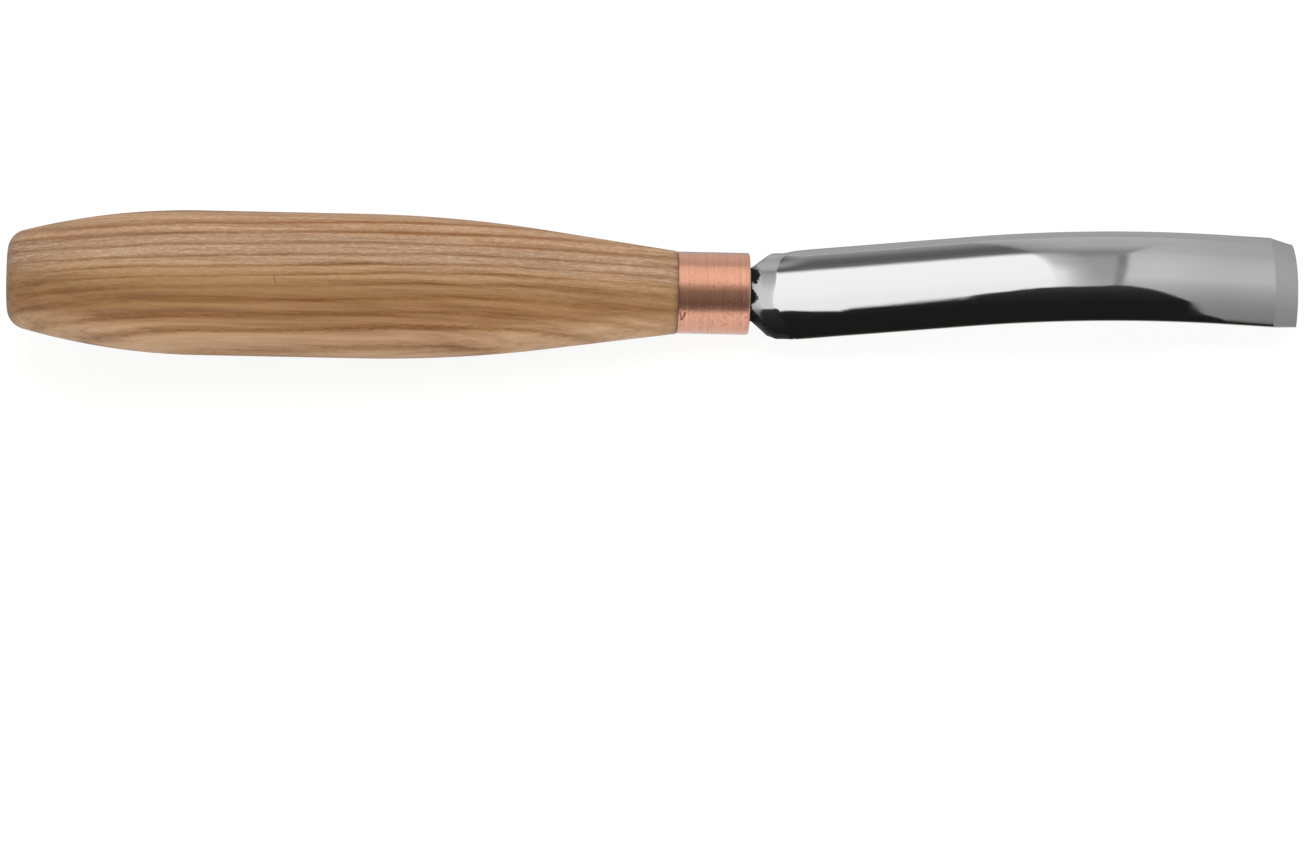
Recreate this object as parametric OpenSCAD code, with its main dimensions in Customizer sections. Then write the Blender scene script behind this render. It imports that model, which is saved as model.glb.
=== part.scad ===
// Bent gouge: a turned ash handle, a copper ferrule and a forged steel blade.
// The handle lies along X, with the middle of its butt face at the origin and
// the cutting edge at the far end. +Z is the convex back of the blade.

/* [Handle] */
// Length of the handle from the butt to the ferrule
handle_len = 140; // [120:1:170]
// Diameter of the handle where it is fullest
handle_d = 30.3; // [26:0.1:36]
// Where the fullest part begins, from the butt
belly_from = 40; // [30:1:50]
// Where the fullest part ends, from the butt
belly_to = 74; // [60:1:85]
// Radius of the long curve from the belly back to the butt
rear_curve_r = 142; // [120:1:220]
// Radius of the long curve from the belly towards the ferrule
front_curve_r = 280; // [220:1:400]
// Radius that rounds the rim of the butt face
butt_round = 4.4; // [2:0.1:5]

/* [Ferrule] */
// Outside diameter of the copper tube
ferrule_d = 17.2; // [16:0.1:19]
// Length of the copper tube
ferrule_len = 15; // [12:0.5:20]
// Wall of the copper tube
ferrule_wall = 1; // [0.8:0.1:1.2]
// Radius that eases the ferrule's front edge
ferrule_round = 0.4; // [0.2:0.1:0.6]
// How far the end of the wood lies inside the ferrule's mouth
mouth_depth = 1.2; // [0.5:0.1:2]
// Width of the punch mark that stakes the ferrule to the wood
stake_w = 1.4; // [1:0.1:1.8]
// Distance of the punch mark from the ferrule's rear edge
stake_from_rear = 1; // [0.8:0.1:3]
// Turn of the punch mark round the handle, from the back of the blade
stake_turn = 62; // [0:1:180]

/* [Blade] */
// Width of the blade over its two rims
blade_w = 21.2; // [18:0.1:23]
// Radius of the convex back
back_r = 16; // [14:0.1:20]
// Thickness of the steel where the channel starts
root_wall = 3; // [2:0.1:3.5]
// Thickness of the steel just behind the bevel
tip_wall = 1.5; // [1.2:0.1:1.8]
// Slope of the shank, rising from the handle's axis
shank_rise = 12.2; // [8:0.1:15]
// Length of the straight shank
shank_len = 32.5; // [20:0.1:50]
// Radius of the bend, along the rims
bend_r = 177; // [120:1:240]
// Angle that the bend turns through
bend_turn = 17.2; // [10:0.1:22]
// Length of the straight tip, from the bend to the edge
tip_len = 15.5; // [12:0.1:30]
// Length of the bevel that is ground on the back
bevel_len = 5.1; // [3:0.1:8]
// Thickness left at the cutting edge
edge_t = 0.15; // [0.1:0.05:0.3]

/* [Neck and shoulders] */
// Width of the neck where it enters the ferrule
neck_w = 11.6; // [10:0.1:13]
// Thickness of the neck below the handle's axis
neck_under = 2.2; // [1.8:0.1:3]
// Length of the neck in front of the ferrule
neck_show = 0.5; // [0.3:0.1:2]
// Angle of the shoulders, seen from above
shoulder_angle = 45; // [35:1:60]
// Radius that rounds the shoulders
shoulder_round = 3; // [1:0.1:4]
// Height of the neck's back over the handle's axis, at the ferrule's mouth
neck_top = 2.2; // [1.5:0.1:2.8]
// Radius of the neck's back
neck_back_r = 15.5; // [12:0.1:18]
// Slope of the neck's back, where it climbs out of the ferrule
neck_rise = 15; // [8:0.5:20]
// Slope of the rims between the shoulders
shoulder_rise = 4; // [0:0.5:8]
// Length of the rims that keep this slope, from the end of the wood
shoulder_len = 6.7; // [5:0.1:9]
// Radius of the curve from the shoulders into the shank
run_r = 60; // [40:1:120]
// Depth of the rim line under the handle's axis, at the end of the wood
rim_drop = 0.83; // [0.5:0.01:2]
// Gap between the rims and the outline that trims the shoulders
trim_gap = 0.15; // [0.1:0.05:0.3]
// Depth of the solid steel below the rims, where there is no channel yet
root_depth = 2.2; // [1.8:0.1:3]
// Distance along the shank at which the channel reaches its full depth
channel_from = 5; // [2:0.5:12]
// Radius of the curve in which the channel runs out towards the neck
runout_r = 30; // [20:1:50]

/* [Tang] */
// Length of the tang inside the wood
tang_len = 62; // [40:1:80]
// Width of the tang at the neck
tang_root_w = 7; // [5:0.1:8]
// Thickness of the tang at the neck
tang_root_t = 4; // [3:0.1:4.4]
// Width of the tang at its end
tang_end_w = 3; // [2:0.1:4]
// Thickness of the tang at its end
tang_end_t = 2.2; // [1.5:0.1:3]
// Number of drill sizes in the stepped hole for the tang
drill_steps = 3; // [2:1:4]

/* [Fits] */
// Gap all round between the tenon and the ferrule's bore
ferrule_fit = 0.05; // [0.02:0.01:0.15]
// Gap between the tang's corners and the mouth of each drilled step
tang_fit = 0.1; // [0.05:0.05:0.3]
// How far the wood stands proud of the ferrule
wood_proud = 0.05; // [0:0.01:0.2]
// Depth of the drilled hole past the end of the tang
drill_past = 2; // [1:0.5:5]

/* [Hidden] */
$fn = 96;
LONG_CURVE_FN = 720;

ferrule_r = ferrule_d / 2;
bore_r = ferrule_r - ferrule_wall;
tenon_r = bore_r - ferrule_fit;
mouth_x = handle_len + ferrule_len;
wood_end_x = mouth_x - mouth_depth;

// The handle's outline: a small arc rounds the butt, a long arc climbs to the
// belly, another falls away from it, and a straight taper ends at the ferrule.
belly_r = handle_d / 2;
front_r = ferrule_r + wood_proud;
rear_axis_r = belly_r - rear_curve_r;
front_axis_r = belly_r - front_curve_r;
butt_flat_r = rear_axis_r + sqrt(pow(rear_curve_r - butt_round, 2) - pow(belly_from - butt_round, 2));
butt_lean = asin((belly_from - butt_round) / (rear_curve_r - butt_round));
butt_end_x = butt_round * (1 - sin(butt_lean));
front_reach = [handle_len - belly_to, front_r - front_axis_r];
taper_angle = atan2(front_reach[0], front_reach[1]) - acos(front_curve_r / norm(front_reach));
taper_x = belly_to + front_curve_r * sin(taper_angle);
taper_r = front_axis_r + front_curve_r * cos(taper_angle);

// The blade's section: an arc between two rims that are cut square to it. The
// section's origin lies between the rims' outer corners, and y points to the back.
half_sweep = asin(blade_w / 2 / back_r);
back_axis_y = -back_r * cos(half_sweep);
back_top_y = back_r + back_axis_y;
hollow_r = back_r - tip_wall;
hollow_top_y = back_top_y - tip_wall;
under_y = -root_depth;
section_depth = 3 * root_depth;
ARC_SHARE = 0.6;

// The rim line in the blade's plane of symmetry. Each leg is [turn, size]: a turn
// of 0 is straight and its size is a length, and any other size is a radius. The
// first leg starts inside the wood, and is cut off where the wood ends.
ROOT_SPARE = 3;
rim_start = [wood_end_x, -rim_drop] - ROOT_SPARE * [cos(shoulder_rise), sin(shoulder_rise)];
shank_legs = [[0, ROOT_SPARE + shoulder_len], [shank_rise - shoulder_rise, run_r]];
bend_legs = [[0, shank_len], [-bend_turn, bend_r], [0, tip_len]];
blank_legs = concat(shank_legs, bend_legs);

// The end of a leg that starts at p with slope h, and the end of a run of legs.
function leg_end(p, h, leg) =
    leg[0] == 0 ? p + leg[1] * [cos(h), sin(h)]
    : p + leg[1] * sign(leg[0]) * [sin(h + leg[0]) - sin(h), cos(h) - cos(h + leg[0])];
function run_end(p, h, legs, i = 0) =
    i == len(legs) ? p : run_end(leg_end(p, h, legs[i]), h + legs[i][0], legs, i + 1);

// A point p turned by an angle a about a centre c.
function turned(p, c, a) =
    c + [(p - c) * [cos(a), -sin(a)], (p - c) * [sin(a), cos(a)]];

shank_start = run_end(rim_start, shoulder_rise, shank_legs);
edge_end = run_end(rim_start, shoulder_rise, blank_legs);
edge_rise = shank_rise - bend_turn;

// The channel follows the same bend, but leans so that the steel thins evenly
// from the shank to the edge. It turns about the middle of the cutting edge.
edge_middle = edge_end + hollow_top_y * [-sin(edge_rise), cos(edge_rise)];
channel_mark = shank_start + channel_from * [cos(shank_rise), sin(shank_rise)];
channel_lean = asin((root_wall - tip_wall) / norm(edge_middle - channel_mark));
runout_turn = acos(1 - 1.3 * (hollow_top_y + root_depth) / runout_r);
CHANNEL_PAST = 2;
channel_legs = [
    [-runout_turn, runout_r],
    [0, shank_len - channel_from],
    [-bend_turn, bend_r],
    [0, tip_len + CHANNEL_PAST]
];
runout_rise = shank_rise + runout_turn;
runout_start = 2 * channel_mark - leg_end(channel_mark, runout_rise, channel_legs[0]);

// Size of the tang across one side, at a distance back from its root.
function tang_size(root, end, back) = root + (end - root) * back / tang_len;

// Turns a drawing of [along the axis, radius] into a solid round the X axis.
module turn_on_x() {
    rotate([0, 90, 0]) rotate_extrude() mirror([1, -1, 0]) children();
}

module long_arc(x, axis_r, r, from, to) {
    intersection() {
        translate([x, axis_r]) circle(r = r, $fn = LONG_CURVE_FN);
        translate([from, 0]) square([to - from, handle_d]);
    }
}

module handle_outline() {
    square([butt_end_x, butt_flat_r]);
    intersection() {
        translate([butt_round, butt_flat_r]) circle(r = butt_round);
        translate([0, butt_flat_r]) square([butt_end_x, handle_d]);
    }
    long_arc(belly_from, rear_axis_r, rear_curve_r, butt_end_x, belly_from);
    translate([belly_from, 0]) square([belly_to - belly_from, belly_r]);
    long_arc(belly_to, front_axis_r, front_curve_r, belly_to, taper_x);
    polygon([[taper_x, 0], [handle_len, 0], [handle_len, front_r], [taper_x, taper_r]]);
    translate([handle_len, 0]) square([wood_end_x - handle_len, tenon_r]);
}

// The hole for the tang, drilled in steps that each clear the tang's corners.
module tang_hole() {
    step = tang_len / drill_steps;
    for (i = [0 : drill_steps - 1]) {
        w = tang_size(tang_root_w, tang_end_w, i * step);
        t = tang_size(tang_root_t, tang_end_t, i * step);
        last = i == drill_steps - 1;
        depth = (i + 1) * step + (last ? drill_past : 0);
        translate([wood_end_x - depth, 0, 0]) rotate([0, 90, 0])
            cylinder(h = depth + 1, r = norm([w, t]) / 2 + tang_fit);
    }
}

module handle() {
    color("burlywood") difference() {
        turn_on_x() handle_outline();
        tang_hole();
    }
}

module ferrule_outline() {
    translate([handle_len, bore_r]) square([ferrule_len - ferrule_round, ferrule_wall]);
    translate([mouth_x - ferrule_round, bore_r])
        square([ferrule_round, ferrule_wall - ferrule_round]);
    intersection() {
        translate([mouth_x - ferrule_round, ferrule_r - ferrule_round]) circle(r = ferrule_round);
        translate([mouth_x - ferrule_round, ferrule_r - ferrule_round])
            square([ferrule_round, ferrule_round]);
    }
}

// A pointed punch sinks this cone into the copper.
module stake_mark() {
    rotate([stake_turn, 0, 0])
        translate([handle_len + stake_from_rear, 0, ferrule_r - stake_w / 2])
        cylinder(h = stake_w, r1 = 0, r2 = stake_w);
}

module ferrule() {
    color("peru") difference() {
        turn_on_x() ferrule_outline();
        stake_mark();
    }
}

// Moves what follows from the start of a leg to its end.
module to_leg_end(turn, size) {
    centre = [0, 0, sign(turn) * size];
    if (turn == 0) translate([size, 0, 0]) children();
    else translate(centre) rotate([0, -turn, 0]) translate(-centre) children();
}

// The first part of a curved leg, which starts at the origin and sets off along X.
module arc(turn, size) {
    if (turn < 0)
        translate([0, 0, -size]) rotate([-90, 0, 0]) rotate([0, 0, -90])
            rotate_extrude(angle = -ARC_SHARE * turn, $fn = LONG_CURVE_FN)
            translate([size, 0]) mirror([1, -1, 0]) children();
    else
        translate([0, 0, size]) rotate([90, 0, 0]) rotate([0, 0, -90])
            rotate_extrude(angle = ARC_SHARE * turn, $fn = LONG_CURVE_FN)
            translate([size, 0]) rotate(90) children();
}

// One leg of a sweep. A curved leg is drawn from both of its ends, and the two
// parts overlap in the middle, so that each end face is exactly square.
module leg(turn, size) {
    if (turn == 0)
        rotate([90, 0, 90]) linear_extrude(height = size) children();
    else {
        arc(turn, size) children();
        to_leg_end(turn, size) rotate([0, 0, 180]) arc(turn, size) children();
    }
}

// Carries a section along a run of legs, one after the other.
module sweep(legs, i = 0) {
    if (i < len(legs)) {
        leg(legs[i][0], legs[i][1]) children();
        to_leg_end(legs[i][0], legs[i][1]) sweep(legs, i + 1) children();
    }
}

// Puts a sweep's start at p, with slope h, in the blade's plane of symmetry.
module start_at(p, h) {
    translate([p[0], 0, p[1]]) rotate([0, -h, 0]) children();
}

// A ring sector under the back, closed straight across below the rims.
module blank_section() {
    under_w = (under_y - back_axis_y) * tan(half_sweep);
    top_y = 2 * back_top_y;
    top_w = (top_y - back_axis_y) * tan(half_sweep);
    intersection() {
        translate([0, back_axis_y]) circle(r = back_r);
        polygon([[-under_w, under_y], [under_w, under_y], [top_w, top_y], [-top_w, top_y]]);
    }
}

module channel_section() {
    intersection() {
        translate([0, hollow_top_y - hollow_r]) circle(r = hollow_r);
        translate([-back_r, -section_depth]) square([2 * back_r, 2 * section_depth]);
    }
}

// The blade seen from above: the neck, the slanted shoulders and the full width.
// The sides stand a little outside the rims, so that they only trim the shoulders.
module plan_outline() {
    side_y = blade_w / 2 + trim_gap;
    corner_x = mouth_x + neck_show + (side_y - neck_w / 2) / tan(shoulder_angle);
    back_off = shoulder_round * tan(shoulder_angle / 2);
    cut = back_off * [cos(shoulder_angle), sin(shoulder_angle)];
    half = [
        [wood_end_x, neck_w / 2],
        [mouth_x + neck_show, neck_w / 2],
        [corner_x - cut[0], side_y - cut[1]],
        [corner_x + back_off, side_y],
        [edge_end[0] + blade_w, side_y]
    ];
    mirrored = [for (i = [1 : len(half)]) [half[len(half) - i][0], -half[len(half) - i][1]]];
    polygon(concat(half, mirrored));
    for (s = [-1, 1])
        translate([corner_x + back_off, s * (side_y - shoulder_round)]) circle(r = shoulder_round);
}

// What the grinding wheel takes off the back to make the bevel: everything near
// the edge that lies outside a cone on the section's own axis.
module bevel_waste() {
    fall = (tip_wall - edge_t) / bevel_len;
    spare = 1;
    long = bevel_len + 2 * spare;
    start_at(edge_end, edge_rise) translate([-bevel_len - spare, 0, 0])
        difference() {
            translate([0, -blade_w, -section_depth]) cube([long, 2 * blade_w, 2 * section_depth]);
            translate([-spare, 0, back_axis_y]) rotate([0, 90, 0])
                cylinder(
                    h = long + 2 * spare,
                    r1 = back_r + 2 * spare * fall,
                    r2 = back_r - (bevel_len + 2 * spare) * fall
                );
        }
}

// What is forged down from the back towards the ferrule: everything round the neck
// that lies outside a rounder cylinder, which climbs out of the ferrule.
module neck_waste() {
    spare = 2;
    long = 2 * shoulder_len;
    start_at([mouth_x, neck_top], neck_rise) translate([-mouth_depth - spare, 0, 0])
        difference() {
            translate([0, -blade_w, -section_depth]) cube([long, 2 * blade_w, 2 * section_depth]);
            translate([-spare, 0, -neck_back_r]) rotate([0, 90, 0])
                cylinder(h = long + 2 * spare, r = neck_back_r);
        }
}

module tang() {
    end_x = wood_end_x - tang_len;
    intersection() {
        rotate([90, 0, 0]) linear_extrude(height = 2 * tang_root_w, center = true) polygon([
            [end_x, -tang_end_t / 2],
            [wood_end_x, -tang_root_t / 2],
            [wood_end_x, tang_root_t / 2],
            [end_x, tang_end_t / 2]
        ]);
        linear_extrude(height = 2 * tang_root_t, center = true) polygon([
            [end_x, -tang_end_w / 2],
            [wood_end_x, -tang_root_w / 2],
            [wood_end_x, tang_root_w / 2],
            [end_x, tang_end_w / 2]
        ]);
    }
}

module blade() {
    color("silver") {
        tang();
        difference() {
            intersection() {
                start_at(rim_start, shoulder_rise) sweep(blank_legs) blank_section();
                translate([0, 0, -neck_under]) linear_extrude(height = handle_d) plan_outline();
            }
            start_at(turned(runout_start, edge_middle, channel_lean), runout_rise + channel_lean)
                sweep(channel_legs) channel_section();
            bevel_waste();
            neck_waste();
        }
    }
}

handle();
ferrule();
blade();
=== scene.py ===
from math import acos, asin, atan, atan2, cos, exp, hypot, pi, radians, sin, sqrt, tan

import bmesh
import bpy
from mathutils import Matrix, Vector, noise


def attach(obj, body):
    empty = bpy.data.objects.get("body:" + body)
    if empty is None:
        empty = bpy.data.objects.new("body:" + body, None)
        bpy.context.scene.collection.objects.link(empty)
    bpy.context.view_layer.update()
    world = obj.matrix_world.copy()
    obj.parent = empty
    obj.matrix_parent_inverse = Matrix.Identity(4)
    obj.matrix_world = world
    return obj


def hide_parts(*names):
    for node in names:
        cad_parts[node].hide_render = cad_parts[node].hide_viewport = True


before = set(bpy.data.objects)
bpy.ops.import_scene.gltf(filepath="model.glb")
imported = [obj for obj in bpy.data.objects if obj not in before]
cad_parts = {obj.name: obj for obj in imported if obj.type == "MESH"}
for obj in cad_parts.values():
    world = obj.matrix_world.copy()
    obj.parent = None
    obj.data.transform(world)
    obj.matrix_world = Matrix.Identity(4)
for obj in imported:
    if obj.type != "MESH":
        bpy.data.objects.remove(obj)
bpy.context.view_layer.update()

# Camera. A long lens 1.5 m away looks down on the tool from its -Y side. The tool lies
# rolled about its axis, and its edge is a little further off than its butt.
PHOTO_W, PHOTO_H = 1304, 868
LENS_MM, SENSOR_MM = 198.0, 36.0
AIM_X, AIM_PIXEL_Y = 0.13473, 291.96
AXIS_SLOPE = radians(1.168)
ELEVATION, SWING, DISTANCE = radians(62.7), radians(2.4), 1.5037
to_camera = Vector((-sin(SWING), -cos(ELEVATION) * cos(SWING), sin(ELEVATION) * cos(SWING)))
forward = -to_camera
level = (Vector((1, 0, 0)) - forward * forward.x).normalized()
upright = level.cross(forward)
right = cos(AXIS_SLOPE) * level + sin(AXIS_SLOPE) * upright
up = cos(AXIS_SLOPE) * upright - sin(AXIS_SLOPE) * level
pixel = SENSOR_MM / LENS_MM / PHOTO_W
dip = atan((PHOTO_H / 2 - AIM_PIXEL_Y) * pixel)
look = forward * cos(dip) - up * sin(dip)
head = up * cos(dip) + forward * sin(dip)
camera = bpy.data.objects.new("camera", bpy.data.cameras.new("camera"))
bpy.context.collection.objects.link(camera)
camera.data.sensor_width = SENSOR_MM
camera.data.lens = LENS_MM
turn = Matrix((right, head, -look)).transposed()
camera.matrix_world = Matrix.Translation(Vector((AIM_X, 0, 0)) + DISTANCE * to_camera) @ turn.to_4x4()
bpy.context.scene.camera = camera
bpy.context.scene.view_settings.view_transform = "Standard"


# Handle. One piece of ash, turned between centres, sanded across the grain and oiled.
# Its tenon goes into the ferrule, and a stepped hole takes the tang.
HANDLE_LEN, HANDLE_R = 0.140, 0.01514
BELLY_FROM, BELLY_TO = 0.040, 0.074
REAR_CURVE_R, FRONT_CURVE_R, BUTT_ROUND = 0.142, 0.280, 0.0044
NECK_R, TENON_R, WOOD_END = 0.00865, 0.00755, 0.1538
TAPER_RINGS, JOINT_EASE = (0.0130, 0.0003), 0.00015
TANG_HOLE = [(0.02067, 0.00413), (0.04133, 0.00329), (0.064, 0.00247)]
BUTT_STEPS, CURVE_STEPS, HANDLE_SIDES = 12, 40, 256
# Wood tones across the handle by Y, in mm. Besides the wood's own colour, they hold painted light: a paler
# top, a browner front in part painted shade, and a pale lower edge.
LATE_WOOD = [(-16.5, "#CBA177"), (-14.6, "#CAA076"), (-12.6, "#A2764B"), (-8, "#977147"), (-4.4, "#A37E57"),
             (-1.5, "#A28060"), (2.5, "#9B795B"), (6.5, "#A07851"), (11, "#A47C53"), (16, "#A67E54")]
EARLY_WOOD = [(-15, "#A06F3A"), (-11.4, "#926532"), (-8, "#8A602F"), (-4, "#825728"), (0, "#7A4F24"),
              (5, "#7C5025"), (8, "#845529"), (16, "#8C5F33")]


def srgb(code):
    channels = [int(code[i:i + 2], 16) / 255 for i in (1, 3, 5)]
    linear = [c / 12.92 if c <= 0.04045 else ((c + 0.055) / 1.055) ** 2.4 for c in channels]
    return (*linear, 1.0)


def add_node(tree, kind, inputs=None, **settings):
    node = tree.nodes.new(kind)
    for name, value in settings.items():
        setattr(node, name, value)
    for socket, value in (inputs or {}).items():
        if isinstance(value, bpy.types.Node):
            value = value.outputs[0]
        if isinstance(value, bpy.types.NodeSocket):
            tree.links.new(value, node.inputs[socket])
        else:
            node.inputs[socket].default_value = value
    return node


def fill_ramp(node, stops):
    ramp = node.color_ramp
    while len(ramp.elements) < len(stops):
        ramp.elements.new(0.5)
    for element, (position, colour) in zip(ramp.elements, stops):
        element.position = position
        element.color = colour if isinstance(colour, tuple) else (colour, colour, colour, 1)


def draw_curve(node, stops):
    points = node.mapping.curves[0].points
    points[0].location, points[1].location = stops[0], stops[-1]
    for stop in stops[1:-1]:
        points.new(*stop)
    node.mapping.update()


def start_material(name):
    material = bpy.data.materials.new(name)
    material.use_nodes = True
    tree = material.node_tree
    tree.nodes.clear()
    place = add_node(tree, "ShaderNodeTexCoord").outputs["Object"]
    mm = add_node(tree, "ShaderNodeVectorMath", {0: place, 1: (1000, 1000, 1000)}, operation="MULTIPLY")
    return material, tree, mm


def add_piece(name, mesh, crease=None):
    data = bpy.data.meshes.new(name)
    mesh.to_mesh(data)
    mesh.free()
    if crease:
        data.shade_smooth()
        data.set_sharp_from_angle(angle=crease)
    piece = bpy.data.objects.new(name, data)
    bpy.context.collection.objects.link(piece)
    return piece


def lathe(name, profile, sides, dent=None):
    rings = []
    mesh = bmesh.new()
    for x, radius in profile:
        if radius == 0:
            rings.append([mesh.verts.new((x, 0, 0))])
            continue
        ring = []
        for i in range(sides):
            angle = 2 * pi * i / sides
            r = radius - (dent(x, radius, angle) if dent else 0)
            ring.append(mesh.verts.new((x, -r * sin(angle), r * cos(angle))))
        rings.append(ring)
    closed = len(rings[0]) > 1
    pairs = list(zip(rings, rings[1:])) + ([(rings[-1], rings[0])] if closed else [])
    for rear, front in pairs:
        for i in range(sides):
            j = (i + 1) % sides
            corners = [rear[i % len(rear)], rear[j % len(rear)], front[j % len(front)], front[i % len(front)]]
            mesh.faces.new(list(dict.fromkeys(corners)))
    bmesh.ops.recalc_face_normals(mesh, faces=mesh.faces)
    return add_piece(name, mesh, crease=radians(25))


rear_axis = HANDLE_R - REAR_CURVE_R
front_axis = HANDLE_R - FRONT_CURVE_R
butt_flat = rear_axis + sqrt((REAR_CURVE_R - BUTT_ROUND) ** 2 - (BELLY_FROM - BUTT_ROUND) ** 2)
butt_lean = asin((BELLY_FROM - BUTT_ROUND) / (REAR_CURVE_R - BUTT_ROUND))
reach = (HANDLE_LEN - BELLY_TO, NECK_R - front_axis)
taper = atan2(*reach) - acos(FRONT_CURVE_R / hypot(*reach))
outline = [(0, 0), (0, butt_flat / 2), (0, butt_flat)]
for i in range(1, BUTT_STEPS + 1):
    angle = i / BUTT_STEPS * (pi / 2 - butt_lean)
    outline.append((BUTT_ROUND * (1 - cos(angle)), butt_flat + BUTT_ROUND * sin(angle)))
for i in range(1, CURVE_STEPS + 1):
    angle = butt_lean * (1 - i / CURVE_STEPS)
    outline.append((BELLY_FROM - REAR_CURVE_R * sin(angle), rear_axis + REAR_CURVE_R * cos(angle)))
for i in range(CURVE_STEPS + 1):
    angle = taper * i / CURVE_STEPS
    outline.append((BELLY_TO + FRONT_CURVE_R * sin(angle), front_axis + FRONT_CURVE_R * cos(angle)))
for gap in TAPER_RINGS:
    outline.append((HANDLE_LEN - gap, NECK_R + gap * tan(taper)))
outline += [(HANDLE_LEN, NECK_R - JOINT_EASE), (HANDLE_LEN, TENON_R), (WOOD_END, TENON_R)]
depth = 0
for deeper, bore_r in TANG_HOLE:
    outline += [(WOOD_END - depth, bore_r), (WOOD_END - deeper, bore_r)]
    depth = deeper
outline.append((WOOD_END - depth, 0))
handle = lathe("ash_handle", outline, HANDLE_SIDES)

# Ash is ring-porous: each year starts with a row of open pores, which the turned and
# sanded surface cuts into brown dashes, and ends in smooth pale wood. The rings of this
# piece are nearly flat and stand 11 degrees off the tool's XZ plane, so they show as lines.
# Each pattern is stretched by how often it repeats per mm along X, Y and Z.
ash, tree, mm = start_material("oiled_ash")
axes = add_node(tree, "ShaderNodeSeparateXYZ", {0: mm})

# Across the rings, in mm, with a slow waver of the rings over 50 mm of length, and a
# ragged edge where fibres stray by a third of a mm. The grain runs 1.6 degrees off the
# handle's axis as far as X 100, and bows back a little in front of that.
RING_NORMAL = (0, 0.981, 0.196)
WAVERS_PER_MM, WAVER = (0.02, 0.1, 0.05), 1.3
STRAYS_PER_MM = (0.07, 1.3, 0.5)
GRAIN_RUN = [(0, -1.7), (60, 0), (100, 1.1), (112, 1.15), (140, 0.75), (150, 0.7)]
GRAIN_LEN, RUN_LIMIT = 150.0, 2.0
waver_at = add_node(tree, "ShaderNodeVectorMath", {0: mm, 1: WAVERS_PER_MM}, operation="MULTIPLY")
waver = add_node(tree, "ShaderNodeTexNoise", {"Vector": waver_at, "Scale": 1.0, "Detail": 1.0})
waver_mm = add_node(tree, "ShaderNodeMath", {0: waver, 1: WAVER, 2: -WAVER / 2}, operation="MULTIPLY_ADD")
stray_at = add_node(tree, "ShaderNodeVectorMath", {0: mm, 1: STRAYS_PER_MM}, operation="MULTIPLY")
stray = add_node(tree, "ShaderNodeTexNoise", {
    "Vector": stray_at, "Scale": 1.0, "Detail": 3.0, "Roughness": 0.65,
})
stray_mm = add_node(tree, "ShaderNodeMath", {0: stray, 1: 1.0, 2: -0.5}, operation="MULTIPLY_ADD")
along = add_node(tree, "ShaderNodeMapRange", {"Value": axes.outputs["X"], "From Max": GRAIN_LEN})
run = add_node(tree, "ShaderNodeFloatCurve", {"Value": along})
draw_curve(run, [(at / GRAIN_LEN, (shift + RUN_LIMIT) / RUN_LIMIT / 2) for at, shift in GRAIN_RUN])
run_mm = add_node(tree, "ShaderNodeMath", {
    0: run, 1: -2 * RUN_LIMIT, 2: RUN_LIMIT,
}, operation="MULTIPLY_ADD")
flat = add_node(tree, "ShaderNodeVectorMath", {0: mm, 1: RING_NORMAL}, operation="DOT_PRODUCT")
wavered = add_node(tree, "ShaderNodeMath", {0: flat.outputs["Value"], 1: waver_mm}, operation="ADD")
strayed = add_node(tree, "ShaderNodeMath", {0: wavered, 1: stray_mm}, operation="ADD")
across = add_node(tree, "ShaderNodeMath", {0: strayed, 1: run_mm}, operation="ADD")

# The years are 2 mm wide in the middle of the handle and 2.5 to 4.5 mm towards its
# sides. The curve gives each place its year, counted from -Y.
YEAR_LINES = [(-18.0, -1.1), (-15.0, 0), (-12.05, 1), (-9.55, 2), (-6.8, 3), (-4.15, 4), (-2.05, 5),
              (-0.1, 6), (2.15, 7), (4.75, 8), (7.4, 9), (10.1, 10), (14.6, 11), (18.0, 12)]
HALF_SPAN, CURVE_YEARS, SPARE_YEARS = 18.0, 16.0, 3


def span_share(at):
    return (at + HALF_SPAN) / HALF_SPAN / 2


span = add_node(tree, "ShaderNodeMapRange", {
    "Value": across, "From Min": -HALF_SPAN, "From Max": HALF_SPAN,
})
years = add_node(tree, "ShaderNodeFloatCurve", {"Value": span})
draw_curve(years, [(span_share(at), (year + SPARE_YEARS) / CURVE_YEARS) for at, year in YEAR_LINES])
year = add_node(tree, "ShaderNodeMath", {0: years, 1: CURVE_YEARS}, operation="MULTIPLY")
season = add_node(tree, "ShaderNodeMath", {0: year}, operation="FRACT")
spring = add_node(tree, "ShaderNodeValToRGB", {"Fac": season})
fill_ramp(spring, [(0.0, 1.0), (0.06, 0.92), (0.14, 0.5), (0.26, 0.18), (0.45, 0.02), (0.74, 0.05),
                   (0.87, 0.42), (0.94, 0.86), (1.0, 1.0)])

# A line comes and goes along the handle, over 15 to 60 mm, so none is drawn evenly, and
# it blurs at both ends, where the curve of the handle cuts the pores at a slant.
BREAKS_PER_MM = (0.025, 0.42, 0.1)
LINE_ENDS = [(0, 0.5), (18, 0.8), (37.5, 1.0), (108, 1.0), (126, 0.62), (139.5, 0.5)]
broken_at = add_node(tree, "ShaderNodeVectorMath", {0: mm, 1: BREAKS_PER_MM}, operation="MULTIPLY")
broken = add_node(tree, "ShaderNodeTexNoise", {"Vector": broken_at, "Scale": 1.0, "Detail": 3.0})
line_here = add_node(tree, "ShaderNodeMapRange", {
    "Value": broken, "From Min": 0.34, "From Max": 0.66, "To Min": 0.62, "To Max": 1.1,
})
line_ends = add_node(tree, "ShaderNodeValToRGB", {"Fac": along})
fill_ramp(line_ends, [(at / GRAIN_LEN, share) for at, share in LINE_ENDS])
line_left = add_node(tree, "ShaderNodeMath", {0: line_here, 1: line_ends}, operation="MULTIPLY")
line_amount = add_node(tree, "ShaderNodeMath", {0: spring, 1: line_left}, operation="MULTIPLY")
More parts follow.
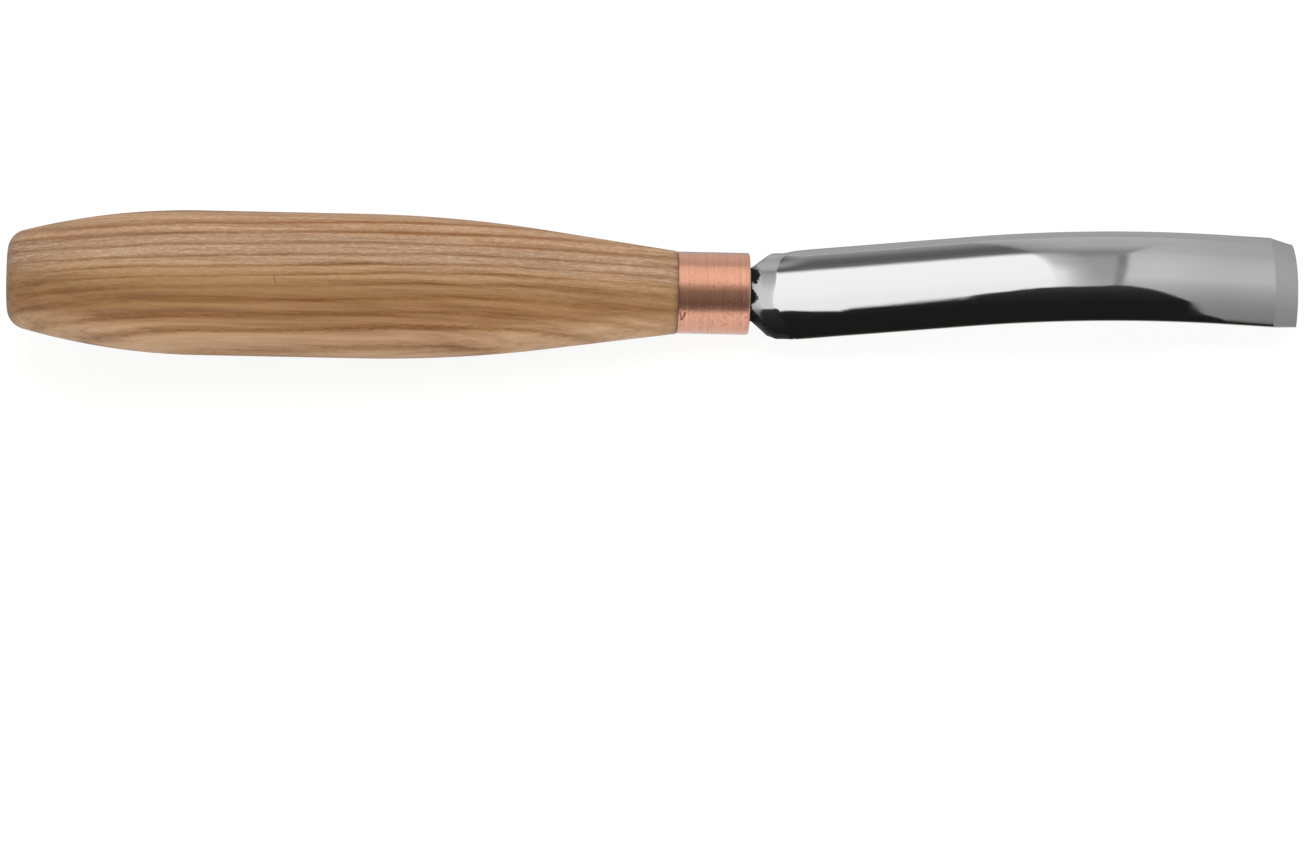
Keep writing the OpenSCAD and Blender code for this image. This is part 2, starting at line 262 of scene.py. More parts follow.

# The tone changes across the handle, partly as the wood's own colour and partly as painted
# light: a paler top where the light falls, a browner front that is part painted shade, and a
# pale lower edge painted for the light from the floor. The tone follows the turned surface: the
# less thick the handle is, the more a place is moved out before its tone is looked up. A half
# leaves it where it is.
MOVED_OUT = [(0, 0.75), (4.5, 0.709), (10, 0.632), (20, 0.551), (30, 0.512), (40, 0.5), (74, 0.5),
             (100, 0.543), (120, 0.666), (130, 0.793), (140, 0.875)]
widen = add_node(tree, "ShaderNodeValToRGB", {"Fac": along})
fill_ramp(widen, [(at / GRAIN_LEN, share) for at, share in MOVED_OUT])
side_at = add_node(tree, "ShaderNodeMath", {0: axes.outputs["Y"], 1: waver_mm}, operation="ADD")
half_side = add_node(tree, "ShaderNodeMath", {0: side_at, 1: widen}, operation="MULTIPLY")
side_tone_and_shade = add_node(tree, "ShaderNodeMapRange", {
    "Value": half_side, "From Min": -HALF_SPAN / 2, "From Max": HALF_SPAN / 2,
})
late = add_node(tree, "ShaderNodeValToRGB", {"Fac": side_tone_and_shade})
fill_ramp(late, [(span_share(at), srgb(code)) for at, code in LATE_WOOD])
early = add_node(tree, "ShaderNodeValToRGB", {"Fac": side_tone_and_shade})
fill_ramp(early, [(span_share(at), srgb(code)) for at, code in EARLY_WOOD])
wood = add_node(tree, "ShaderNodeMix", {"Factor": line_amount, "A": late, "B": early}, data_type="RGBA")

# Fibres run along the handle, drawn 0.4 mm wide and 10 to 30 mm long, in wider bands of
# paler and redder wood. They are seen as flat ribbons that stand with the rings. Pores
# are brown dashes 1 to 3 mm long in the spring wood.
FIBRES_PER_MM, BANDS_PER_MM, PORES_PER_MM = (0.06, 2.6, 0.8), (0.016, 0.9, 0.25), (0.5, 4.0, 2.4)
fibre_at = add_node(tree, "ShaderNodeVectorMath", {0: mm, 1: FIBRES_PER_MM}, operation="MULTIPLY")
fibre = add_node(tree, "ShaderNodeTexNoise", {
    "Vector": fibre_at, "Scale": 1.0, "Detail": 4.0, "Roughness": 0.7,
})
band_at = add_node(tree, "ShaderNodeVectorMath", {0: mm, 1: BANDS_PER_MM}, operation="MULTIPLY")
band = add_node(tree, "ShaderNodeTexNoise", {"Vector": band_at, "Scale": 1.0, "Detail": 3.0})
pore_at = add_node(tree, "ShaderNodeVectorMath", {0: mm, 1: PORES_PER_MM}, operation="MULTIPLY")
pore = add_node(tree, "ShaderNodeTexNoise", {
    "Vector": pore_at, "Scale": 1.0, "Detail": 2.0, "Roughness": 0.6,
})
pore_here = add_node(tree, "ShaderNodeValToRGB", {"Fac": pore})
fill_ramp(pore_here, [(0.50, 0.0), (0.62, 1.0)])
pores = add_node(tree, "ShaderNodeMath", {0: pore_here, 1: line_amount}, operation="MULTIPLY")

# Silvery flecks of ray lie between the pores. They are put thicker towards +Y as a painted highlight, the
# sheen of the oiled top.
FLECKS_PER_MM = (0.7, 3.2, 1.6)
fleck_at = add_node(tree, "ShaderNodeVectorMath", {0: mm, 1: FLECKS_PER_MM}, operation="MULTIPLY")
fleck = add_node(tree, "ShaderNodeTexNoise", {
    "Vector": fleck_at, "Scale": 1.0, "Detail": 4.0, "Roughness": 0.75,
})
fleck_here = add_node(tree, "ShaderNodeValToRGB", {"Fac": fleck})
fill_ramp(fleck_here, [(0.44, 0.0), (0.62, 1.0)])
painted_sheen_side = add_node(tree, "ShaderNodeMapRange", {
    "Value": axes.outputs["Y"], "From Min": -7.0, "From Max": 0.0, "To Min": 0.05, "To Max": 0.3,
})
off_line = add_node(tree, "ShaderNodeMath", {0: 1.0, 1: line_amount}, operation="SUBTRACT")
fleck_there = add_node(tree, "ShaderNodeMath", {0: fleck_here, 1: off_line}, operation="MULTIPLY")
fleck_and_sheen = add_node(tree, "ShaderNodeMath", {0: fleck_there, 1: painted_sheen_side}, operation="MULTIPLY")
flecked = add_node(tree, "ShaderNodeMix", {
    "Factor": fleck_and_sheen, "A": wood.outputs["Result"], "B": srgb("#DCC8B8"),
}, data_type="RGBA")
pore_amount = add_node(tree, "ShaderNodeMath", {0: pores, 1: 0.5}, operation="MULTIPLY")
pored = add_node(tree, "ShaderNodeMix", {
    "Factor": pore_amount, "A": flecked.outputs["Result"], "B": srgb("#6E4322"),
}, data_type="RGBA")

# Fibres and bands together make each streak darker and browner, or paler, by a factor.
STREAK_TONES = [(0.0, (0.74, 0.66, 0.58, 1)), (0.5, (1.0, 1.0, 1.0, 1)), (1.0, (1.2, 1.22, 1.26, 1))]
streaks = add_node(tree, "ShaderNodeMath", {0: fibre, 1: band}, operation="ADD")
streak_share = add_node(tree, "ShaderNodeMapRange", {"Value": streaks, "From Min": 0.74, "From Max": 1.26})
streak_tone = add_node(tree, "ShaderNodeValToRGB", {"Fac": streak_share})
fill_ramp(streak_tone, STREAK_TONES)
streaked = add_node(tree, "ShaderNodeMix", {
    "Factor": 1.0, "A": pored.outputs["Result"], "B": streak_tone,
}, data_type="RGBA", blend_type="MULTIPLY")

# The wood is a little darker towards the butt end, and dirt sits in the joint at the ferrule.
END_DARKENING = [(0, 0.84), (15, 0.93), (33, 1.0), (138.75, 1.0), (139.5, 0.8), (140, 0.37)]
end_darkening = add_node(tree, "ShaderNodeValToRGB", {"Fac": along})
fill_ramp(end_darkening, [(at / GRAIN_LEN, share) for at, share in END_DARKENING])
darkened_ends = add_node(tree, "ShaderNodeMix", {
    "Factor": 1.0, "A": streaked.outputs["Result"], "B": end_darkening,
}, data_type="RGBA", blend_type="MULTIPLY")

# One nick, 1.6 mm long and dark with dirt, crosses the grain on the belly.
NICK_X, NICK_Y, NICK_SLANT = 55.9, -6.1, 0.38
nick_y = add_node(tree, "ShaderNodeMath", {0: axes.outputs["Y"], 1: NICK_Y}, operation="SUBTRACT")
nick_x = add_node(tree, "ShaderNodeMath", {
    0: nick_y, 1: NICK_SLANT, 2: axes.outputs["X"],
}, operation="MULTIPLY_ADD")
nick_off = add_node(tree, "ShaderNodeMath", {0: nick_x, 1: NICK_X}, operation="SUBTRACT")
nick_side = add_node(tree, "ShaderNodeMath", {0: nick_off}, operation="ABSOLUTE")
nick_end = add_node(tree, "ShaderNodeMath", {0: nick_y}, operation="ABSOLUTE")
nick_wide = add_node(tree, "ShaderNodeMapRange", {"Value": nick_side, "From Min": 0.22, "From Max": 0.05})
nick_long = add_node(tree, "ShaderNodeMapRange", {
    "Value": nick_end, "From Min": 1.0, "From Max": 0.5, "To Max": 0.65,
})
nick_top = add_node(tree, "ShaderNodeMapRange", {"Value": axes.outputs["Z"], "From Max": 1.0})
nick_here = add_node(tree, "ShaderNodeMath", {0: nick_wide, 1: nick_long}, operation="MULTIPLY")
nick = add_node(tree, "ShaderNodeMath", {0: nick_here, 1: nick_top}, operation="MULTIPLY")
nicked = add_node(tree, "ShaderNodeMix", {
    "Factor": nick, "A": darkened_ends.outputs["Result"], "B": srgb("#6A4426"),
}, data_type="RGBA")

# Sandpaper held against the turning wood leaves fine scratches round the handle.
SCRATCHES_PER_MM = (2.6, 0.1, 0.1)
round_at = add_node(tree, "ShaderNodeVectorMath", {0: mm, 1: SCRATCHES_PER_MM}, operation="MULTIPLY")
sanding = add_node(tree, "ShaderNodeTexNoise", {"Vector": round_at, "Scale": 1.0, "Detail": 3.0})
relief = add_node(tree, "ShaderNodeMath", {0: fibre, 1: 0.6, 2: sanding}, operation="MULTIPLY_ADD")
relief_pored = add_node(tree, "ShaderNodeMath", {0: pores, 1: -1.2, 2: relief}, operation="MULTIPLY_ADD")
ash_bump = add_node(tree, "ShaderNodeBump", {"Height": relief_pored, "Distance": 0.00006, "Strength": 0.6})
ash_gloss = add_node(tree, "ShaderNodeMapRange", {
    "Value": relief_pored, "From Min": -0.6, "From Max": 1.0, "To Min": 0.66, "To Max": 0.48,
})
ash_shader = add_node(tree, "ShaderNodeBsdfPrincipled", {
    "Base Color": nicked.outputs["Result"], "Roughness": ash_gloss, "IOR": 1.47, "Normal": ash_bump,
})
add_node(tree, "ShaderNodeOutputMaterial", {"Surface": ash_shader})
handle.data.materials.append(ash)
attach(handle, "root")
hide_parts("handle")


# Ferrule. A short length of drawn copper tube, driven onto the tenon, brushed in the
# lathe and staked to the wood by one blow of a small V-shaped punch near its rear edge.
FERRULE_R, FERRULE_LEN, FERRULE_WALL = 0.0086, 0.015, 0.001
REAR_EASE, RIM_ROUND, BORE_EASE = [(0, 0.00015), (0.00005, 0.00004)], 0.0004, 0.00012
RIM_STEPS, FERRULE_SIDES = 6, 360
RING_ROWS = [(0.00015, 0.0001, 18), (0.0023, 0.00041, 30)]
PRICK_TURN = radians(62)
PRICK_CUTS = [((0.35, -1.1), (0.7, 1.0)), ((1.4, -0.8), (0.85, 1.0))]
CUT_HALF_W, CUT_STEEPNESS, OUTER_SKIN = 0.24, 0.0010, 0.0003
RIPPLE, RIPPLES_PER_M, RIPPLES_ROUND = 0.000014, 500, 5
mouth = HANDLE_LEN + FERRULE_LEN
ferrule_bore = FERRULE_R - FERRULE_WALL


# Each cut of the punch runs between two points, in mm in front of the ferrule's rear
# edge and round its skin. Pipe is never quite true, so the skin has a faint ripple.
def prick(x, radius, angle):
    if radius < FERRULE_R - OUTER_SKIN:
        return 0
    here = Vector(((x - HANDLE_LEN) * 1000, (angle - PRICK_TURN) * FERRULE_R * 1000))
    ripple_at = Vector((x * RIPPLES_PER_M, cos(angle) * RIPPLES_ROUND, sin(angle) * RIPPLES_ROUND))
    depth = RIPPLE * noise.noise(ripple_at)
    for start, end in PRICK_CUTS:
        way = Vector(end) - Vector(start)
        share = min(max((here - Vector(start)).dot(way) / way.length_squared, 0), 1)
        off = (here - Vector(start) - way * share).length
        depth += max(0, CUT_HALF_W - off) * CUT_STEEPNESS
    return depth


tube = [(HANDLE_LEN, ferrule_bore)]
tube += [(HANDLE_LEN + along, FERRULE_R - down) for along, down in REAR_EASE]
for first, step, rings in RING_ROWS:
    tube += [(HANDLE_LEN + first + i * step, FERRULE_R) for i in range(rings)]
for i in range(RIM_STEPS + 1):
    angle = i / RIM_STEPS * pi / 2
    tube.append((mouth - RIM_ROUND * (1 - sin(angle)), FERRULE_R - RIM_ROUND * (1 - cos(angle))))
tube += [(mouth, ferrule_bore + BORE_EASE), (mouth - BORE_EASE, ferrule_bore)]
ferrule = lathe("copper_ferrule", tube, FERRULE_SIDES, prick)

# Brushed copper, with lines round the tube about 0.4 mm apart, drawn a little wider
# than real ones. It has dulled: brown spots sit in the pits, most of them low down, and
# a film of wax lies over it.
BRUSH_LINES_PER_MM = (2.7, 0.04, 0.04)
copper, tree, mm = start_material("brushed_copper")
axes = add_node(tree, "ShaderNodeSeparateXYZ", {0: mm})
line_at = add_node(tree, "ShaderNodeVectorMath", {0: mm, 1: BRUSH_LINES_PER_MM}, operation="MULTIPLY")
lines = add_node(tree, "ShaderNodeTexNoise", {
    "Vector": line_at, "Scale": 1.0, "Detail": 3.0, "Roughness": 0.6,
})
pit = add_node(tree, "ShaderNodeTexNoise", {"Vector": mm, "Scale": 1.6, "Detail": 4.0, "Roughness": 0.65})
pit_here = add_node(tree, "ShaderNodeValToRGB", {"Fac": pit})
fill_ramp(pit_here, [(0.56, 0.0), (0.68, 1.0)])
low = add_node(tree, "ShaderNodeMapRange", {
    "Value": axes.outputs["Y"], "From Min": 2.0, "From Max": -7.0, "To Min": 0.25, "To Max": 0.9,
})
spots = add_node(tree, "ShaderNodeMath", {0: pit_here, 1: low}, operation="MULTIPLY")
line_tone = add_node(tree, "ShaderNodeMapRange", {
    "Value": lines, "From Min": 0.3, "From Max": 0.7, "To Min": 0.84, "To Max": 1.1,
})
lined = add_node(tree, "ShaderNodeMix", {
    "Factor": 1.0, "A": srgb("#F3B091"), "B": line_tone,
}, data_type="RGBA", blend_type="MULTIPLY")
spotted = add_node(tree, "ShaderNodeMix", {
    "Factor": spots, "A": lined.outputs["Result"], "B": srgb("#A8735A"),
}, data_type="RGBA")

# Dirt has stayed in the two cuts of the punch.
to_front = add_node(tree, "ShaderNodeMath", {0: axes.outputs["Y"], 1: -1.0}, operation="MULTIPLY")
round_axis = add_node(tree, "ShaderNodeMath", {0: to_front, 1: axes.outputs["Z"]}, operation="ARCTAN2")
arc = add_node(tree, "ShaderNodeMath", {
    0: round_axis, 1: FERRULE_R * 1000, 2: -PRICK_TURN * FERRULE_R * 1000,
}, operation="MULTIPLY_ADD")
from_rear = add_node(tree, "ShaderNodeMath", {
    0: axes.outputs["X"], 1: HANDLE_LEN * 1000,
}, operation="SUBTRACT")
unrolled = add_node(tree, "ShaderNodeCombineXYZ", {"X": from_rear, "Y": arc})
stained = spotted
for start, end in PRICK_CUTS:
    way = Vector((end[0] - start[0], end[1] - start[1], 0))
    here = add_node(tree, "ShaderNodeVectorMath", {0: unrolled, 1: (*start, 0)}, operation="SUBTRACT")
    reached = add_node(tree, "ShaderNodeVectorMath", {
        0: here, 1: way / way.length_squared,
    }, operation="DOT_PRODUCT")
    share = add_node(tree, "ShaderNodeClamp", {"Value": reached.outputs["Value"]})
    nearest = add_node(tree, "ShaderNodeVectorMath", {0: way, "Scale": share}, operation="SCALE")
    off = add_node(tree, "ShaderNodeVectorMath", {0: here, 1: nearest}, operation="DISTANCE")
    dirt = add_node(tree, "ShaderNodeMapRange", {
        "Value": off.outputs["Value"], "From Min": CUT_HALF_W, "From Max": 0.06, "To Max": 0.5,
    })
    stained = add_node(tree, "ShaderNodeMix", {
        "Factor": dirt, "A": stained.outputs["Result"], "B": srgb("#6E3A28"),
    }, data_type="RGBA")
copper_relief = add_node(tree, "ShaderNodeMath", {0: spots, 1: -0.6, 2: lines}, operation="MULTIPLY_ADD")
copper_bump = add_node(tree, "ShaderNodeBump", {
    "Height": copper_relief, "Distance": 0.00006, "Strength": 0.6,
})
round_tube = add_node(tree, "ShaderNodeTangent", direction_type="RADIAL", axis="X")
copper_shader = add_node(tree, "ShaderNodeBsdfPrincipled", {
    "Base Color": stained.outputs["Result"], "Metallic": 0.92, "Roughness": 0.36, "Anisotropic": 0.92,
    "Anisotropic Rotation": 0.25, "Tangent": round_tube, "Normal": copper_bump, "Coat Weight": 0.9,
    "Coat Roughness": 0.2,
})
add_node(tree, "ShaderNodeOutputMaterial", {"Surface": copper_shader})
ferrule.data.materials.append(copper)
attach(ferrule, "root")
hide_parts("ferrule")


# Blade. One forging of tool steel: the tang in the handle, a short neck, sloping
# shoulders and a shallow channel, which bends down towards the edge. It is polished,
# apart from a ground bevel on its back. Its sizes are in millimetres.
HALF_W, BACK_R, TIP_WALL, ROOT_WALL, ROOT_DEPTH = 10.6, 16.0, 1.5, 3.0, 2.2
BEVEL_LEN, EDGE_T, EDGE_ROUND, CORNER_SHARE = 5.1, 0.15, 0.2, 0.42
NECK_HALF_W, NECK_TOP, NECK_BACK_R, NECK_FROM, NECK_TO = 5.8, 2.7, 18.5, 155.0, 172.0
NECK_CREASE, NECK_FLAT, NECK_FADE = 0.03, 6.0, 4.0
HAMMER_WAVE, HAMMER_TURN, HAMMER_AT = 0.06, 0.56, 1.4
SHOULDER_FROM, SHOULDER_ROUND, SHOULDER_OUT = 155.5, 3.0, 0.15
SHOULDER_EASE, SHOULDER_TO, SHOULDER_FADE = 1.2, 165.0, 4.0
FAR_EASE, FAR_FROM, FAR_OVER = 0.42, 4.0, 3.4
NEAR_EASE, NEAR_FROM, NEAR_OVER = 0.09, 4.3, 3.0
EASED_TO, EASED_OVER = 169.0, 8.0
SWELL, SWELL_AT, SWELL_LEN = 0.06, 174.0, 4.5
RUNOUT_FROM, RUNOUT_R, RUNOUT_SHARE = 20.287, 30.0, 0.95
START, START_SLOPE, SHANK_RISE, INSET = (153.8, -0.83), radians(4), radians(12.2), 0.012
LEGS = [(0, 6.7), (radians(8.2), 60.0), (0, 32.5), (radians(-17.2), 177.0), (0, 15.496)]
TANG_LEN, TANG_ENDS = 62.0, [(3.5, 2.0), (1.5, 1.1)]
BACK_STEPS, CORNER_STEPS, SIDE_STEPS, INNER_STEPS, BEVEL_STEPS = 36, 4, 5, 28, 14
NECK_STEP, BLADE_STEP, FINE_TO = 0.22, 0.6, 12.0
HEEL_GAP, HEEL_RINGS = 0.9, (-0.3, -0.06, -0.02, 0.02, 0.06)
half_sweep = asin(HALF_W / BACK_R)
back_axis = -BACK_R * cos(half_sweep) - INSET
hollow_r = BACK_R - TIP_WALL
bevel_fall = (TIP_WALL - EDGE_T) / BEVEL_LEN


def leg_length(turn, size):
    return size if turn == 0 else abs(turn) * size


# The rim line runs from the tang to the edge, midway between the two rims, in legs: a
# straight one has no turn and its length, and a bent one has its turn and its radius.
# A station is a distance along that line.
def rim_line(station):
    x, z, slope = *START, START_SLOPE
    for turn, size in LEGS:
        leg = leg_length(turn, size)
        part = min(max(station, 0), leg)
        if turn == 0:
            x, z = x + part * cos(slope), z + part * sin(slope)
        else:
            way = 1 if turn > 0 else -1
            after = slope + way * part / size
            x += way * size * (sin(after) - sin(slope))
            z += way * size * (cos(slope) - cos(after))
            slope = after
        station -= leg
        if station <= 0:
            break
    return x, z, slope


blade_len = sum(leg_length(*leg) for leg in LEGS)
bevel_from = blade_len - BEVEL_LEN
end_x, end_z, end_slope = rim_line(blade_len)
shank_start = rim_line(leg_length(*LEGS[0]) + leg_length(*LEGS[1]))
hollow_top = BACK_R + back_axis - TIP_WALL
middle = (end_x - hollow_top * sin(end_slope), end_z + hollow_top * cos(end_slope))
mark = rim_line(RUNOUT_FROM)
channel_lean = (ROOT_WALL - TIP_WALL) / hypot(middle[0] - mark[0], middle[1] - mark[1])


def lifted(point, rise, top, station):
    x, z, slope = rim_line(station)
    lift = (x - point[0]) * sin(rise) - (z - point[1]) * cos(rise)
    return (lift + top) / cos(slope - rise)


def smooth(share):
    share = min(max(share, 0), 1)
    return share * share * (3 - 2 * share)


def ground_back_r(station):
    return BACK_R - max(0, station - bevel_from) * bevel_fall


# The back of the blade. Towards the neck its shoulders are eased, most on the far side,
# and the neck's flatter back, a little wavy from the hammer, blends in with a crease.
def outer_back(station, y):
    x = rim_line(station)[0]
    back = back_axis + sqrt(ground_back_r(station) ** 2 - y * y)
    near_neck = smooth((EASED_TO - x) / EASED_OVER)
    if y > 0:
        eased = FAR_EASE * smooth((y - FAR_FROM) / FAR_OVER) * near_neck
    else:
        swell = SWELL * exp(-((x - SWELL_AT) / SWELL_LEN) ** 2)
        eased = smooth((-y - NEAR_FROM) / NEAR_OVER) * (NEAR_EASE * near_neck - swell)
    if x > NECK_TO:
        return back - eased
    straight = lifted(shank_start, SHANK_RISE, back, station)
    hammered = NECK_TOP + HAMMER_WAVE * cos(HAMMER_TURN * (y - HAMMER_AT))
    neck_round = sqrt(NECK_BACK_R ** 2 - y * y) - NECK_BACK_R
    neck = lifted((NECK_FROM, hammered), START_SLOPE, neck_round, station)
    forged = 0.5 * (straight + neck + hypot(straight - neck, NECK_CREASE))
    return forged + (back - forged) * smooth((y - NECK_FLAT) / NECK_FADE) - eased


# The hollow side. The channel leans, so that the wall is thicker towards the neck, and
# behind its mark it runs out in a curve into the flat root.
def inner_face(station, y):
    x, z, slope = rim_line(station)
    to_edge = (middle[0] - x) * cos(slope) + (middle[1] - z) * sin(slope)
    axis = back_axis - channel_lean * to_edge
    behind_mark = min(max(0, RUNOUT_FROM - station), RUNOUT_R * RUNOUT_SHARE)
    if behind_mark > 0:
        drop = RUNOUT_R - sqrt(RUNOUT_R ** 2 - behind_mark ** 2)
        reach_x = mark[0] - behind_mark * cos(mark[2]) + drop * sin(mark[2])
        reach_z = mark[1] - behind_mark * sin(mark[2]) - drop * cos(mark[2])
        axis += (reach_x - x) * -sin(slope) + (reach_z - z) * cos(slope)
    channel = axis + sqrt(hollow_r ** 2 - y * y)
    return max(channel, -ROOT_DEPTH, (-ROOT_DEPTH - z) / cos(slope))


def half_width(x):
    widest = HALF_W + SHOULDER_OUT
    centre_x = SHOULDER_FROM + (widest - NECK_HALF_W) + SHOULDER_ROUND * tan(pi / 8)
    centre_y = widest - SHOULDER_ROUND
    if x < SHOULDER_FROM:
        return NECK_HALF_W
    if x < centre_x - SHOULDER_ROUND * sin(pi / 4):
        return NECK_HALF_W + x - SHOULDER_FROM
    return centre_y + sqrt(SHOULDER_ROUND ** 2 - max(0, centre_x - x) ** 2)


def between(start, end, share):
    return tuple(one + (other - one) * share for one, other in zip(start, end))


def corner(start, tip, end):
    points = []
    for i in range(CORNER_STEPS + 1):
        share = i / CORNER_STEPS
        points.append(between(between(start, tip, share), between(tip, end, share), share))
    return points


# Half a section, from the middle of the back round the rim to the middle of the hollow.
# The rim lies on a line through the back's axis, and both its corners are eased.
def blade_half_section(station, side_of_axis):
    def back_at(y):
        return outer_back(station, side_of_axis * y)

    x = rim_line(station)[0]
    widest = min(half_width(x), ground_back_r(station) * sin(half_sweep))
    y = widest
    for _ in range(4):
        y = min(widest, (back_at(y) - back_axis) * tan(half_sweep))
    top = (y, back_at(y))
    inner_y = y
    for _ in range(6):
        inner_y = min(half_width(x), (inner_face(station, inner_y) - back_axis) * tan(half_sweep))
    under = (inner_y, inner_face(station, inner_y))
    side = hypot(under[0] - top[0], under[1] - top[1])
    ease = EDGE_ROUND + SHOULDER_EASE * max(0, min(1, (SHOULDER_TO - x) / SHOULDER_FADE))
    ease = min(ease, side * CORNER_SHARE)
    top_y, under_y = y - ease, inner_y - ease
    start, end = between(top, under, ease / side), between(under, top, ease / side)
    points = [(top_y * i / BACK_STEPS, back_at(top_y * i / BACK_STEPS)) for i in range(BACK_STEPS)]
    points += corner((top_y, back_at(top_y)), top, start)
    points += [between(start, end, i / SIDE_STEPS) for i in range(1, SIDE_STEPS)]
    points += corner(end, under, (under_y, inner_face(station, under_y)))
    for i in range(INNER_STEPS - 1, -1, -1):
        points.append((under_y * i / INNER_STEPS, inner_face(station, under_y * i / INNER_STEPS)))
    return points


stations = [0.0]
while stations[-1] < bevel_from - HEEL_GAP:
    stations.append(stations[-1] + (NECK_STEP if stations[-1] < FINE_TO else BLADE_STEP))
stations += [bevel_from + gap for gap in HEEL_RINGS]
last_ring = stations[-1]
stations += [last_ring + (blade_len - last_ring) * i / BEVEL_STEPS for i in range(1, BEVEL_STEPS + 1)]
blade_mesh = bmesh.new()
loops = []
for station in stations:
    x, z, slope = rim_line(station)
    near_side = [(-y, high) for y, high in blade_half_section(station, -1)[-2:0:-1]]
    loops.append([
        blade_mesh.verts.new(((x - high * sin(slope)) * 0.001, y * 0.001, (z + high * cos(slope)) * 0.001))
        for y, high in blade_half_section(station, 1) + near_side
    ])

# The ground bevel and the black flanks, which end just past the shoulders, get materials
# of their own. Faces are counted from the middle of the back, down each side.
BEVEL_FINISH, SCALE_FINISH, FLANK_TO = 1, 2, 10.5
back_end = BACK_STEPS + CORNER_STEPS
inner_from = back_end + SIDE_STEPS + CORNER_STEPS
far_flank = range(back_end - 2, inner_from + 2)
near_flank = range(BACK_STEPS, inner_from + 1)
count = len(loops[0])
for station, rear, front in zip(stations, loops, loops[1:]):
    for i in range(count):
        j = (i + 1) % count
        face = blade_mesh.faces.new((rear[i], rear[j], front[j], front[i]))
        from_middle = min(i, count - 1 - i)
        flank = far_flank if i < count / 2 else near_flank
        if station > bevel_from and from_middle < back_end:
            face.material_index = BEVEL_FINISH
        elif station < FLANK_TO and from_middle in flank:
            face.material_index = SCALE_FINISH
blade_mesh.faces.new(loops[0])
edge_cap = blade_mesh.faces.new(loops[-1])
edge_cap.material_index = BEVEL_FINISH

# The tang tapers on all four sides, and ends in the drilled hole.
tang_rings = []
for x, (half_w, half_t) in zip((START[0] + 0.1, START[0] - TANG_LEN), TANG_ENDS):
    tang_rings.append([blade_mesh.verts.new((x * 0.001, y * half_w * 0.001, z * half_t * 0.001))
                       for y, z in ((-1, -1), (1, -1), (1, 1), (-1, 1))])
for i in range(4):
    j = (i + 1) % 4
    blade_mesh.faces.new((tang_rings[0][i], tang_rings[0][j], tang_rings[1][j], tang_rings[1][i]))
for ring in tang_rings:
    blade_mesh.faces.new(ring)
bmesh.ops.recalc_face_normals(blade_mesh, faces=blade_mesh.faces)
blade = add_piece("polished_blade", blade_mesh, crease=radians(40))

# Polished steel: a bright mirror with faint waves, fine strokes along the blade where
# the buff ran, and grey scale left in the hollows beside the ferrule. The last, narrow
# spot is painted shade in the gap at the ferrule's mouth. Each spot has its middle and
# its half sizes, in mm.
STROKES_PER_MM, WAVES_PER_MM = (0.05, 3.2, 3.2), (0.06, 0.22, 0.22)
SCALE_AND_SHADE_SPOTS = [((155.4, 3.2, 1.9), (1.9, 2.4, 2.5)), ((155.3, -2.0, 2.2), (1.4, 1.6, 2.5)),
               ((154.9, 0.0, 2.0), (0.75, 9.0, 6.0))]
steel, tree, mm = start_material("polished_tool_steel")
stroke_at = add_node(tree, "ShaderNodeVectorMath", {0: mm, 1: STROKES_PER_MM}, operation="MULTIPLY")
strokes = add_node(tree, "ShaderNodeTexNoise", {
    "Vector": stroke_at, "Scale": 1.0, "Detail": 3.0, "Roughness": 0.6,
})
wave_at = add_node(tree, "ShaderNodeVectorMath", {0: mm, 1: WAVES_PER_MM}, operation="MULTIPLY")
waves = add_node(tree, "ShaderNodeTexNoise", {"Vector": wave_at, "Scale": 1.0, "Detail": 2.0})
stroke_bump = add_node(tree, "ShaderNodeBump", {"Height": strokes, "Distance": 0.000006, "Strength": 0.35})
wave_bump = add_node(tree, "ShaderNodeBump", {
    "Height": waves, "Distance": 0.00002, "Strength": 0.5, "Normal": stroke_bump,
})
cloud = add_node(tree, "ShaderNodeTexNoise", {"Vector": mm, "Scale": 0.25, "Detail": 4.0})
steel_gloss = add_node(tree, "ShaderNodeMapRange", {
    "Value": cloud, "From Min": 0.3, "From Max": 0.7, "To Min": 0.035, "To Max": 0.075,
})
blade_axes = add_node(tree, "ShaderNodeSeparateXYZ", {0: mm})
neck_gloss = add_node(tree, "ShaderNodeMapRange", {
    "Value": blade_axes.outputs["X"], "From Min": 157.0, "From Max": 158.2, "To Min": 0.24, "To Max": 0.03,
})
finish = add_node(tree, "ShaderNodeMath", {0: steel_gloss, 1: neck_gloss}, operation="MAXIMUM")
crust = add_node(tree, "ShaderNodeTexNoise", {"Vector": mm, "Scale": 0.9, "Detail": 4.0, "Roughness": 0.6})
scale_and_shade_here = None
for spot, size in SCALE_AND_SHADE_SPOTS:
    off = add_node(tree, "ShaderNodeVectorMath", {0: mm, 1: spot}, operation="SUBTRACT")
    share = add_node(tree, "ShaderNodeVectorMath", {0: off, 1: size}, operation="DIVIDE")
    away = add_node(tree, "ShaderNodeVectorMath", {0: share}, operation="LENGTH")
    rough_edge = add_node(tree, "ShaderNodeMath", {
        0: crust, 1: 1.7, 2: away.outputs["Value"],
    }, operation="MULTIPLY_ADD")
    here = add_node(tree, "ShaderNodeMapRange", {"Value": rough_edge, "From Min": 1.95, "From Max": 1.75})
    if scale_and_shade_here:
        here = add_node(tree, "ShaderNodeMath", {0: scale_and_shade_here, 1: here}, operation="MAXIMUM")
    scale_and_shade_here = here
